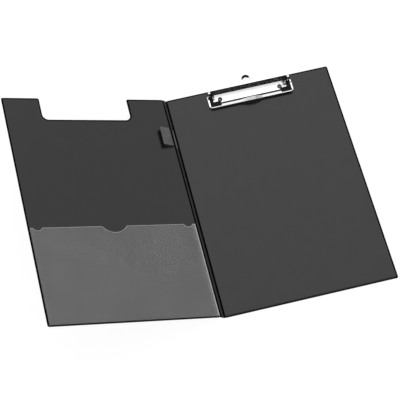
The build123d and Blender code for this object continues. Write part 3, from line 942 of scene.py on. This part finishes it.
class CLIPBOARD_OT_clip(bpy.types.Operator):
    """Finish the plate, tab, rivets and jaw in plating, the pins in steel, the pads in rubber"""

    bl_idname = "clipboard.clip"
    bl_label = "Clip"

    def execute(self, context):
        sizes = context.scene.clipboard_clip
        polish = sizes.chrome_roughness
        jaw = speckled(
            "jaw_plating_painted_shade", sizes.chrome, rough=(0.002, 5, polish * 0.6, polish * 1.5), metallic=1
        )
        jaw.bump((jaw.noise(0.008, 2), 0.0001, 0.15), (jaw.noise(0.0004, 2), 0.000004, 0.3))
        # Painted reflection: the finger lift and the back of the lip are painted grey, by height
        # and by place
        lip_y = jaw_front + sizes.lip_width
        lift_from = board_top + sizes.lift_from
        lift_full = board_top + sizes.lift_full
        lip = jaw.combined(
            "MULTIPLY",
            jaw.ramp("Y", lip_y, lip_y - sizes.lip_fade),
            jaw.ramp("Z", lift_from, lift_full, sizes.lip_shade),
        )
        jaw.tint(lip, sizes.chrome, sizes.lift, 0.0, 1.0)

        face_z = board_top + sizes.plate_t
        plate = speckled(
            "plate_plating",
            sizes.chrome,
            tone=(0.004, 4, 0.96, 1.03),
            dents=(0.0005, 3, 0.00001, 0.2),
            stretch=(0.2, 3, 3),
            metallic=1,
        )
        flange = plate.ramp("Z", face_z, board_top + sizes.flange_from)
        plate.rough(flange, sizes.plate_roughness, polish)

        # Painted shade: the tab's rim and the flat inside it are painted towards the rubber's black
        tab = speckled("tab_plating_painted_shade", sizes.chrome, dents=(0.0004, 2, 0.000004, 0.3), metallic=1)
        rim = tab.combined(
            "MULTIPLY",
            tab.ramp("Y", sizes.tab_shade_y, sizes.tab_shade_y + sizes.tab_fade),
            tab.ramp("Z", face_z + sizes.tab_step, face_z + 3 * sizes.tab_step, sizes.tab_shade),
        )
        tab.tint(rim, sizes.chrome, sizes.rubber, 0.0, 1.0)
        tab.rough(rim, polish, 0.5)

        rivets = speckled(
            "rivet_plating",
            sizes.rivet,
            tone=(0.0012, 4, 0.5, 1.6),
            rough=(0.001, 4, 0.18, 0.4),
            dents=(0.0008, 2, 0.00004, 0.3),
            metallic=1,
        )
        steel = speckled(
            "spring_steel",
            sizes.wire,
            tone=(0.001, 4, 0.7, 1.5),
            rough=(0.0008, 4, 0.25, 0.5),
            dents=(0.0002, 2, 0.00001, 0.4),
            stretch=(1, 1, 8),
            metallic=1,
        )
        washer = speckled("washer_steel", sizes.washer, rough=(0.001, 5, 0.3, 0.55), metallic=1)
        rubber = speckled(
            "black_rubber",
            sizes.rubber,
            tone=(0.003, 4, 0.8, 1.3),
            rough=(0.002, 4, 0.6, 0.8),
            dents=(0.0003, 3, 0.00003, 0.5),
            gloss=0.15,
        )
        finishes = {
            "clip_jaw": jaw,
            "clip_base_plate": plate,
            "hanging_tab": tab,
            "clip_rivets": rivets,
            "clip_pivot_pins": steel,
            "rivet_washers": washer,
            "left_corner_pad": rubber,
            "right_corner_pad": rubber,
        }
        for name, finish in finishes.items():
            coat_node(name, finish.material)
        return {"FINISHED"}


class CLIPBOARD_OT_springs(bpy.types.Operator):
    """Add the two torsion springs, each a coil round its pin with a leg at either end"""

    bl_idname = "clipboard.springs"
    bl_label = "Springs"

    def execute(self, context):
        sizes = context.scene.clipboard_clip
        wire_r = sizes.wire_d / 2
        first = -sizes.fixed_leg_lean
        last = 2 * math.pi * sizes.coil_turns + math.pi - sizes.jaw_leg_slope
        turned = last - first
        travel = sizes.coil_pitch * turned / (2 * math.pi)
        clear_selection()
        bpy.ops.mesh.primitive_circle_add(
            vertices=14, radius=wire_r, fill_type="NOTHING", location=(0, sizes.coil_r, 0)
        )
        spring = named("right_spring_wire")
        put(spring, Matrix.Rotation(first, 4, "X"))
        per_turn = 28
        finish_with(
            spring,
            "SCREW",
            axis="X",
            angle=turned,
            screw_offset=travel,
            steps=round(per_turn * turned / (2 * math.pi)),
            use_merge_vertices=False,
        )

        # Places and directions as seen from the pivot, where the coil ends in its two legs
        pivot_up = jaw_pivot.z - board_top
        along = Vector((1, 0, 0))
        start = Vector((0, sizes.coil_r * math.cos(first), sizes.coil_r * math.sin(first)))
        end = Vector((travel, sizes.coil_r * math.cos(last), sizes.coil_r * math.sin(last)))
        fixed = Vector((0, -math.sin(first), math.cos(first)))
        pressing = Vector((0, -math.sin(last), math.cos(last)))
        foot_z = sizes.plate_t + sizes.clear + wire_r * fixed.y - pivot_up
        rest_z = sizes.rail_top + sizes.clear + wire_r - pivot_up
        fixed_run = (start.z - foot_z) / fixed.z
        pressing_run = (rest_z - end.z) / pressing.z - sizes.leg_bend
        knee = end + pressing * pressing_run
        hook = knee + (pressing + along) * sizes.leg_bend
        hook_run = sizes.leg_end - sizes.coil_from_middle - hook.x
        near = wire_r * 1.2  # just past an end's ring of points
        take(spring, "EDIT")
        draw_out(spring, start, near, -fixed * fixed_run)
        draw_out(spring, end, near, pressing * pressing_run)
        pick(spring, lambda co: (co - knee).length < near)
        bpy.ops.mesh.spin(
            steps=8,
            angle=math.pi / 2,
            center=knee + along * sizes.leg_bend,
            axis=along.cross(pressing),
        )
        draw_out(spring, hook, near, along * hook_run)
        bpy.ops.mesh.select_all(action="SELECT")
        bpy.ops.mesh.fill_holes(sides=0)
        clear_selection()
        outward(spring)
        put(spring, Matrix.Translation(jaw_pivot + along * sizes.coil_from_middle))
        smooth(spring, 60)
        coat(spring, bpy.data.materials["spring_steel"])
        bpy.ops.object.duplicate()
        mirrored = bpy.context.active_object
        mirrored.name = "left_spring_wire"
        mirrored.data.name = "left_spring_wire"
        put(mirrored, Matrix.Scale(-1, 4, along))
        outward(mirrored)
        for piece, side, node in (
            (spring, 1, "right_clip_spring"),
            (mirrored, -1, "left_clip_spring"),
        ):
            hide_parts(node)
            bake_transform(piece)
        return {"FINISHED"}


def area_light(name, place, aim, size, power):
    """Square soft light at a place, turned towards a point."""
    clear_selection()
    bpy.ops.object.light_add(type="AREA", location=place)
    light = bpy.context.active_object
    light.name = name
    light.data.name = name
    light.data.shape = "SQUARE"
    light.data.size = size
    light.data.energy = power
    light.rotation_euler = (Vector(aim) - Vector(place)).to_track_quat("-Z", "Y").to_euler()


def seen_directly(tree):
    """One where a ray comes from the camera, a reflection or through glass, else nought."""
    path = new_node(tree, "LightPath")
    total = path.outputs["Is Camera Ray"]
    for name in ("Is Glossy Ray", "Is Transmission Ray"):
        largest = new_node(tree, "Math", operation="MAXIMUM")
        tree.links.new(total, largest.inputs[0])
        tree.links.new(path.outputs[name], largest.inputs[1])
        total = largest.outputs["Value"]
    return total


def show(tree, output, usual, seen):
    """Puts out one shader for the light that it gives and another for how it is seen."""
    choice = new_node(tree, "MixShader")
    tree.links.new(seen_directly(tree), choice.inputs["Fac"])
    tree.links.new(usual.outputs[0], choice.inputs[1])
    tree.links.new(seen.outputs[0], choice.inputs[2])
    tree.links.new(choice.outputs["Shader"], new_node(tree, output).inputs["Surface"])


class CLIPBOARD_OT_stage(bpy.types.Operator):
    """Add the floor, the room, the lights and the camera"""

    bl_idname = "clipboard.stage"
    bl_label = "Stage"

    def execute(self, context):
        sizes = context.scene.clipboard_stage
        scene = context.scene
        scene.view_settings.view_transform = "Standard"

        clear_selection()
        bpy.ops.mesh.primitive_plane_add(size=sizes.floor_size, location=(0, 0, -sizes.floor_drop))
        floor = named("floor")
        paint = bpy.data.materials.new("floor_paint")
        tree = empty_tree(paint)
        shadow = [sizes.floor_shadow] * 3
        plain = new_node(tree, "BsdfDiffuse", {"Color": (*sizes.floor, 1)})
        faint = new_node(tree, "BsdfDiffuse", {"Color": (*shadow, 1)})
        glow = new_node(tree, "Emission", {"Strength": sizes.floor_glow})
        seen = new_node(tree, "AddShader")
        tree.links.new(faint.outputs["BSDF"], seen.inputs[0])
        tree.links.new(glow.outputs["Emission"], seen.inputs[1])
        show(tree, "OutputMaterial", plain, seen)
        coat(floor, paint)

        room = bpy.data.worlds.new("pale_room")
        scene.world = room
        tree = empty_tree(room)
        white = (1, 1, 1, 1)
        even = new_node(tree, "Background", {"Color": white, "Strength": sizes.room})
        seen = new_node(tree, "Background", {"Color": white, "Strength": 1})
        show(tree, "OutputWorld", even, seen)

        clear_selection()
        bpy.ops.mesh.primitive_plane_add(size=1, location=sizes.card_place)
        card = bpy.context.active_object
        card.name = "dark_card"
        card.scale = (sizes.card_width, sizes.card_height, 1)
        card.rotation_euler.x = sizes.card_tilt
        coat(card, Finish("dark_card", sizes.card, roughness=1).material)
        card.visible_camera = False
        card.visible_diffuse = False
        card.visible_shadow = False

        area_light("key_light", sizes.key_place, (0, 0, 0), sizes.key_size, sizes.key)
        area_light("fill_light", sizes.fill_place, sizes.fill_aim, sizes.fill_size, sizes.fill)

        clear_selection()
        bpy.ops.object.camera_add(location=sizes.camera, rotation=sizes.camera_turn)
        camera = bpy.context.active_object
        camera.name = "camera"
        camera.data.sensor_width = sizes.sensor
        camera.data.lens = sizes.lens
        camera.data.clip_start = 0.05
        camera.data.clip_end = 50
        scene.camera = camera
        return {"FINISHED"}


class CLIPBOARD_PT_panel(bpy.types.Panel):
    """Lists the operators and their sizes"""

    bl_idname = "CLIPBOARD_PT_panel"
    bl_label = "Clipboard Folder"
    bl_space_type = "VIEW_3D"
    bl_region_type = "UI"
    bl_category = "Clipboard"

    def draw(self, context):
        for operators, name, _ in layout_rows:
            box = self.layout.box()
            for operator in operators:
                box.operator(operator.bl_idname)
            sizes = getattr(context.scene, name)
            for key in sizes.bl_rna.properties.keys():
                if key not in ("rna_type", "name"):
                    box.prop(sizes, key, text=key.replace("_", " ").capitalize())


layout_rows = (
    ((CLIPBOARD_OT_panels, CLIPBOARD_OT_folds), "clipboard_panels", ClipboardPanels),
    ((CLIPBOARD_OT_pen_loop,), "clipboard_loop", ClipboardLoop),
    ((CLIPBOARD_OT_pocket,), "clipboard_pocket", ClipboardPocket),
    ((CLIPBOARD_OT_clip, CLIPBOARD_OT_springs), "clipboard_clip", ClipboardClip),
    ((CLIPBOARD_OT_stage,), "clipboard_stage", ClipboardStage),
)


def register():
    """Registers the size groups, the operators and the panel."""
    for operators, name, group in layout_rows:
        bpy.utils.register_class(group)
        setattr(bpy.types.Scene, name, PointerProperty(type=group))
        for operator in operators:
            bpy.utils.register_class(operator)
    bpy.utils.register_class(CLIPBOARD_PT_panel)


def unregister():
    """Takes away what register added."""
    bpy.utils.unregister_class(CLIPBOARD_PT_panel)
    for operators, name, group in reversed(layout_rows):
        for operator in reversed(operators):
            bpy.utils.unregister_class(operator)
        delattr(bpy.types.Scene, name)
        bpy.utils.unregister_class(group)


def main():
    """Builds every piece in order."""
    register()
    bpy.ops.clipboard.panels()
    bpy.ops.clipboard.folds()
    bpy.ops.clipboard.pen_loop()
    bpy.ops.clipboard.pocket()
    bpy.ops.clipboard.clip()
    bpy.ops.clipboard.springs()
    bpy.ops.clipboard.stage()
    clear_selection()


if __name__ == "__main__":
    main()
